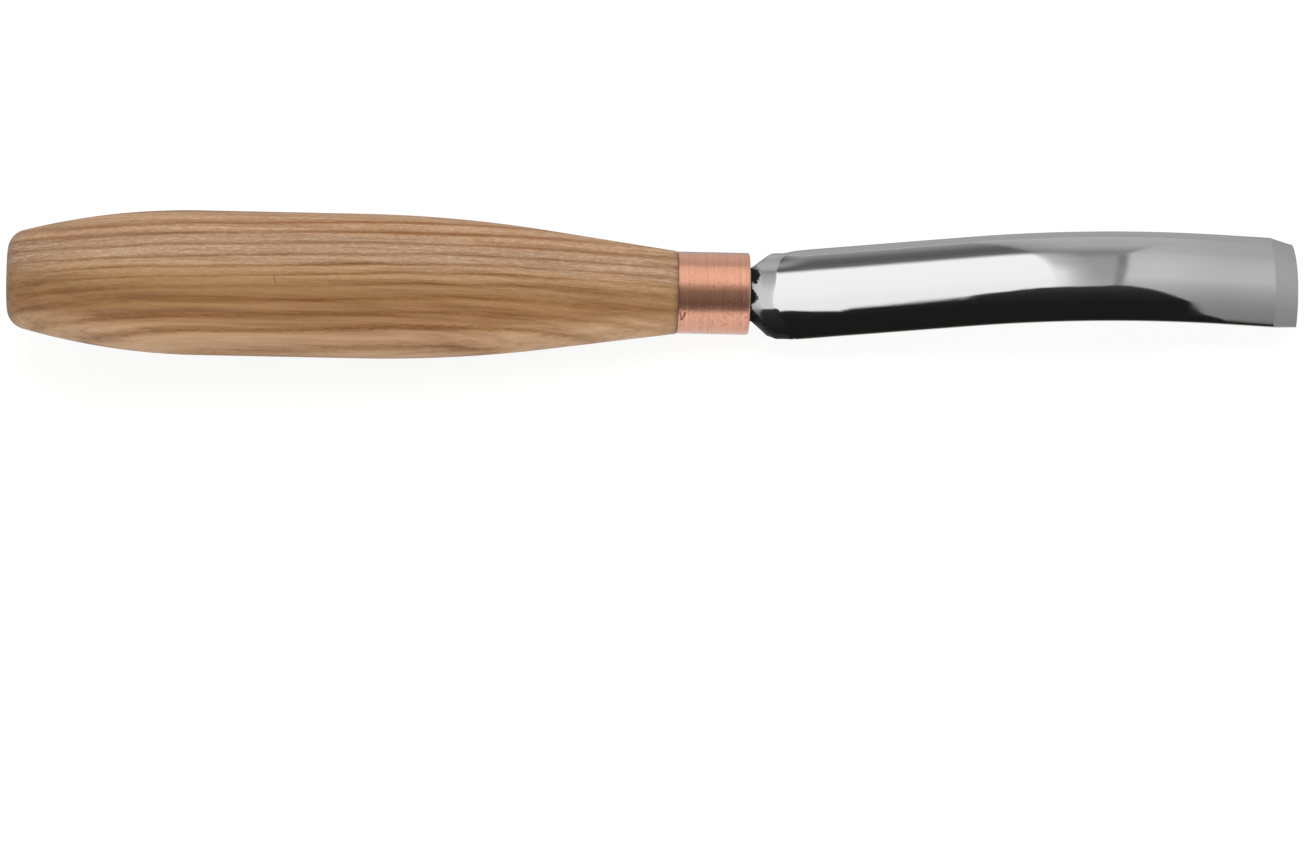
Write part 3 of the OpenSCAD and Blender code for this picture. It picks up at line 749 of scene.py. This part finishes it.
# The spots of scale, and the painted shade at the mouth, are dark grey and rough.
steel_colour = add_node(tree, "ShaderNodeMix", {
    "Factor": scale_and_shade_here, "A": srgb("#C6C6C6"), "B": srgb("#2E2E2F"),
}, data_type="RGBA")
steel_rough = add_node(tree, "ShaderNodeMix", {"Factor": scale_and_shade_here, "A": finish, "B": 0.5})
scale_relief = add_node(tree, "ShaderNodeMath", {0: scale_and_shade_here, 1: crust}, operation="MULTIPLY")
scale_bump = add_node(tree, "ShaderNodeBump", {
    "Height": scale_relief, "Distance": 0.0004, "Strength": 0.9, "Normal": wave_bump,
})
steel_shader = add_node(tree, "ShaderNodeBsdfPrincipled", {
    "Base Color": steel_colour.outputs["Result"], "Metallic": 1.0,
    "Roughness": steel_rough.outputs["Result"], "Normal": scale_bump,
})
add_node(tree, "ShaderNodeOutputMaterial", {"Surface": steel_shader})

# The bevel is ground on a fine wheel, which leaves a satin face with short lines.
GRIND_LINES_PER_MM = (0.5, 5.0, 5.0)
bevel, tree, mm = start_material("ground_tool_steel")
grind_at = add_node(tree, "ShaderNodeVectorMath", {0: mm, 1: GRIND_LINES_PER_MM}, operation="MULTIPLY")
grind = add_node(tree, "ShaderNodeTexNoise", {"Vector": grind_at, "Scale": 1.0, "Detail": 3.0})
grind_bump = add_node(tree, "ShaderNodeBump", {"Height": grind, "Distance": 0.00003, "Strength": 0.5})
bevel_shader = add_node(tree, "ShaderNodeBsdfPrincipled", {
    "Base Color": srgb("#B2B2B2"), "Metallic": 0.8, "Roughness": 0.5, "Normal": grind_bump,
})
add_node(tree, "ShaderNodeOutputMaterial", {"Surface": bevel_shader})

# The narrow flanks of the neck and shoulders keep their black scale from the forge.
scale, tree, mm = start_material("forge_scale")
grain = add_node(tree, "ShaderNodeTexNoise", {"Vector": mm, "Scale": 2.2, "Detail": 4.0})
grey = add_node(tree, "ShaderNodeValToRGB", {"Fac": grain})
fill_ramp(grey, [(0.35, srgb("#1E1E1F")), (0.65, srgb("#3B3B3C"))])
grain_bump = add_node(tree, "ShaderNodeBump", {"Height": grain, "Distance": 0.0001, "Strength": 0.6})
scale_shader = add_node(tree, "ShaderNodeBsdfPrincipled", {
    "Base Color": grey, "Metallic": 0.6, "Roughness": 0.5, "Normal": grain_bump,
})
add_node(tree, "ShaderNodeOutputMaterial", {"Surface": scale_shader})
for surface in (steel, bevel, scale):
    blade.data.materials.append(surface)
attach(blade, "root")
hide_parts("blade")


# Floor. The gouge lies hollow side down, on the belly of its handle and the front rim of
# its ferrule, so the floor is tilted to the handle's axis. It is seen only from above.
FLOOR_SLOPE, FLOOR_GAP, FLOOR_HALF = 0.097, 0.00002, 2.5
floor_mesh = bmesh.new()
floor_corners = []
for way_x, way_y in ((-1, -1), (1, -1), (1, 1), (-1, 1)):
    x, y = way_x * FLOOR_HALF, way_y * FLOOR_HALF
    height = FLOOR_SLOPE * (x - mouth) - FERRULE_R - FLOOR_GAP
    floor_corners.append(floor_mesh.verts.new((x, y, height)))
floor_mesh.faces.new(floor_corners)
floor = add_piece("floor", floor_mesh)

# White paper, matt and even. The metal mirrors it by a light of its own, which is least
# 28 mm behind the tool's axis, in the tool's shade, and the camera sees it nearly white.
PAPER_IN_METAL = [(-60, 0.94), (-10, 0.75), (12, 0.52), (28, 0.42), (45, 0.58)]
PAPER_HALF = 60
paper, tree, mm = start_material("white_paper")
ray = add_node(tree, "ShaderNodeLightPath")
sheet = add_node(tree, "ShaderNodeBsdfDiffuse", {"Color": srgb("#E7E7E7")})
axes = add_node(tree, "ShaderNodeSeparateXYZ", {0: mm})
floor_share = add_node(tree, "ShaderNodeMapRange", {
    "Value": axes.outputs["Y"], "From Min": -PAPER_HALF, "From Max": PAPER_HALF,
})
floor_light = add_node(tree, "ShaderNodeValToRGB", {"Fac": floor_share})
fill_ramp(floor_light, [((at + PAPER_HALF) / PAPER_HALF / 2, share) for at, share in PAPER_IN_METAL])
mirrored_sheet = add_node(tree, "ShaderNodeEmission", {"Strength": floor_light})
for_metal = add_node(tree, "ShaderNodeMixShader", {
    0: ray.outputs["Is Glossy Ray"], 1: sheet, 2: mirrored_sheet,
})
seen_sheet = add_node(tree, "ShaderNodeBsdfDiffuse", {"Color": srgb("#5D5D5D")})
glow = add_node(tree, "ShaderNodeEmission", {"Strength": 0.915})
seen = add_node(tree, "ShaderNodeAddShader", {0: seen_sheet, 1: glow})
for_camera = add_node(tree, "ShaderNodeMixShader", {0: ray.outputs["Is Camera Ray"], 1: for_metal, 2: seen})
side = add_node(tree, "ShaderNodeNewGeometry")
clear = add_node(tree, "ShaderNodeBsdfTransparent")
from_above = add_node(tree, "ShaderNodeMixShader", {0: side.outputs["Backfacing"], 1: for_camera, 2: clear})
add_node(tree, "ShaderNodeOutputMaterial", {"Surface": from_above})
floor.data.materials.append(paper)


# Studio. White light comes from all round, with a little more from a lamp overhead.
# Polished metal shows the room: a white box overhead, a dark front, and pale walls.
# Each place in the room is given by its lean towards +X and its turn about the X axis,
# in degrees, from the -Y horizon over the top to the +Y horizon.
HALF_LEAN, ROOM_STRENGTH, STEEL_SHINE = 30, 1.6, 0.56
world = bpy.data.worlds.new("studio")
world.use_nodes = True
bpy.context.scene.world = world
tree = world.node_tree
tree.nodes.clear()
place = add_node(tree, "ShaderNodeTexCoord")
axes = add_node(tree, "ShaderNodeSeparateXYZ", {0: place.outputs["Generated"]})
lean = add_node(tree, "ShaderNodeMath", {0: axes.outputs["X"]}, operation="ARCSINE")
lean_share = add_node(tree, "ShaderNodeMapRange", {
    "Value": lean, "From Min": radians(-HALF_LEAN), "From Max": radians(HALF_LEAN),
})
toward_front = add_node(tree, "ShaderNodeMath", {0: axes.outputs["Y"], 1: -1.0}, operation="MULTIPLY")
around = add_node(tree, "ShaderNodeMath", {0: axes.outputs["Z"], 1: toward_front}, operation="ARCTAN2")
turn_share = add_node(tree, "ShaderNodeMapRange", {"Value": around, "From Min": 0.0, "From Max": pi})


# A tone is given as the grey, of 255, that the polished steel shows of it.
def tone(grey):
    return srgb("#%02X%02X%02X" % (grey, grey, grey))[0] / STEEL_SHINE / ROOM_STRENGTH


def lean_stops(stops):
    return [((at + HALF_LEAN) / HALF_LEAN / 2, share) for at, share in stops]


def room_part(stops):
    node = add_node(tree, "ShaderNodeValToRGB", {"Fac": turn_share})
    fill_ramp(node, [(degree / 180, tone(grey)) for degree, grey in stops])
    return node


box = room_part([(0, 228), (90, 232), (104, 238), (142, 240), (148.5, 104), (156, 86), (164, 94),
                 (171, 118), (180, 146)])
centre = room_part([(0, 150), (90, 156), (98, 156), (104, 150), (122, 149), (133, 145), (144, 123),
                    (150, 142), (157, 160), (180, 170)])
wall = room_part([(0, 112), (42, 127), (54, 133), (66, 142), (78, 156), (90, 171), (102, 189), (122, 188),
                  (138, 181), (148, 171), (180, 164)])
far_left = room_part([(0, 26), (58, 30), (74, 60), (90, 150), (104, 186), (120, 194), (142, 186), (154, 150),
                      (180, 160)])
dark = add_node(tree, "ShaderNodeValToRGB", {"Fac": turn_share})
fill_ramp(dark, [(0.0, 0.56), (0.045, 0.5), (0.075, srgb("#454240")), (0.15, srgb("#383430")),
                 (0.2, tone(24)), (0.36, tone(26)), (0.42, tone(35)), (0.46, tone(46)), (0.5, tone(60))])
box_edge = add_node(tree, "ShaderNodeValToRGB", {"Fac": lean_share})
fill_ramp(box_edge, lean_stops([
    (-6.4, 0.0), (-6.15, 0.2), (-5.4, 0.26), (-5, 0.31), (-4.5, 0.44), (-4, 0.58), (-3.5, 0.69),
    (-3, 0.775), (-2, 0.886), (-1, 0.98), (-0.5, 1.0),
]))
upper_edge = add_node(tree, "ShaderNodeValToRGB", {"Fac": lean_share})
fill_ramp(upper_edge, lean_stops([
    (-6.2, 0.0), (-5.7, 0.5), (-5.4, 0.6), (-5, 0.68), (-4.5, 0.74), (-3.5, 0.83), (-2.5, 0.9), (-1, 1.0),
]))
upper_part = add_node(tree, "ShaderNodeMapRange", {
    "Value": turn_share, "From Min": 112 / 180, "From Max": 126 / 180,
})
edge_share = add_node(tree, "ShaderNodeMix", {
    "Factor": upper_part, "A": box_edge, "B": upper_edge,
}, data_type="RGBA")
slant = add_node(tree, "ShaderNodeMath", {
    0: turn_share, 1: -radians(5.4), 2: lean,
}, operation="MULTIPLY_ADD")
wall_edge = add_node(tree, "ShaderNodeMapRange", {
    "Value": slant, "From Min": radians(-0.5), "From Max": radians(0.0),
}, interpolation_type="SMOOTHSTEP")
part_room = add_node(tree, "ShaderNodeMix", {
    "Factor": edge_share.outputs["Result"], "A": box, "B": centre,
}, data_type="RGBA")
past_wall = add_node(tree, "ShaderNodeMath", {
    0: lean, 1: -5.5 / pi, 2: turn_share,
}, operation="MULTIPLY_ADD")
above_wall = add_node(tree, "ShaderNodeMapRange", {
    "Value": past_wall, "From Min": 119 / 180, "From Max": 121 / 180,
}, interpolation_type="SMOOTHSTEP")
wall_end = add_node(tree, "ShaderNodeMapRange", {
    "Value": lean, "From Min": radians(8), "From Max": radians(15), "To Min": 1.0, "To Max": 0.88,
})
side_wall = add_node(tree, "ShaderNodeMix", {
    "Factor": above_wall, "A": wall, "B": centre,
}, data_type="RGBA")
faded_wall = add_node(tree, "ShaderNodeMix", {
    "Factor": 1.0, "A": side_wall.outputs["Result"], "B": wall_end,
}, data_type="RGBA", blend_type="MULTIPLY")
room = add_node(tree, "ShaderNodeMix", {
    "Factor": wall_edge, "A": part_room.outputs["Result"], "B": faded_wall.outputs["Result"],
}, data_type="RGBA")
post_at = add_node(tree, "ShaderNodeMapRange", {
    "Value": slant, "From Min": radians(-3), "From Max": radians(1),
})
post = add_node(tree, "ShaderNodeValToRGB", {"Fac": post_at})
fill_ramp(post, [(0.36, 1.0), (0.46, 0.57), (0.66, 0.56), (0.74, 1.0)])
post_part = add_node(tree, "ShaderNodeMapRange", {
    "Value": turn_share, "From Min": 142 / 180, "From Max": 134 / 180,
})
posted = add_node(tree, "ShaderNodeMix", {
    "Factor": post_part, "A": room.outputs["Result"], "B": post,
}, data_type="RGBA", blend_type="MULTIPLY")
front = add_node(tree, "ShaderNodeValToRGB", {"Fac": lean_share})
fill_ramp(front, [(at, degree / 180) for at, degree in lean_stops([
    (-19.2, 76), (-18.8, 75), (-18.6, 73.2), (-18.5, 72.9), (-18.4, 74.4), (-18.3, 75.7), (-18.2, 76.5),
    (-18.1, 77.4), (-18, 78.3), (-17.8, 79.8), (-17.2, 80.5), (-16, 81.7), (-12.4, 83.6), (-10.5, 85.5),
    (-6.5, 87), (-0.4, 86.6), (1.5, 88.5), (3.5, 87.7), (5.4, 84.8), (7.4, 80.7), (9.4, 74), (11.4, 66),
    (12.5, 48), (14.4, 42.5), (15, 37.6), (17, 35),
])])
above_front = add_node(tree, "ShaderNodeMath", {0: turn_share, 1: front}, operation="SUBTRACT")
open_room = add_node(tree, "ShaderNodeMapRange", {
    "Value": above_front, "From Min": -1.2 / 180, "From Max": 1.6 / 180,
}, interpolation_type="SMOOTHSTEP")
near_room = add_node(tree, "ShaderNodeMix", {
    "Factor": open_room, "A": dark, "B": posted.outputs["Result"],
}, data_type="RGBA")
far_edge = add_node(tree, "ShaderNodeMapRange", {
    "Value": lean, "From Min": radians(-22.5), "From Max": radians(-24.5),
}, interpolation_type="SMOOTHSTEP")
mirrored = add_node(tree, "ShaderNodeMix", {
    "Factor": far_edge, "A": near_room.outputs["Result"], "B": far_left,
}, data_type="RGBA")
mirrored_light = add_node(tree, "ShaderNodeBackground", {
    "Color": mirrored.outputs["Result"], "Strength": ROOM_STRENGTH,
})
plain_light = add_node(tree, "ShaderNodeBackground", {"Color": srgb("#FFFFFF"), "Strength": 0.62})
white = add_node(tree, "ShaderNodeBackground", {"Color": srgb("#FFFFFF"), "Strength": 1.0})
ray = add_node(tree, "ShaderNodeLightPath")
for_metal = add_node(tree, "ShaderNodeMixShader", {
    0: ray.outputs["Is Glossy Ray"], 1: plain_light, 2: mirrored_light,
})
for_camera = add_node(tree, "ShaderNodeMixShader", {
    0: ray.outputs["Is Camera Ray"], 1: for_metal, 2: white,
})
add_node(tree, "ShaderNodeOutputWorld", {"Surface": for_camera})

lamp = bpy.data.objects.new("overhead_lamp", bpy.data.lights.new("overhead_lamp", "AREA"))
lamp.data.shape = "RECTANGLE"
lamp.data.size, lamp.data.size_y = 1.4, 0.9
lamp.data.energy = 14
lamp.location = (0.13, 0.25, 1.3)
lamp.rotation_euler = (radians(-11), 0, 0)
lamp.visible_glossy = False
bpy.context.collection.objects.link(lamp)
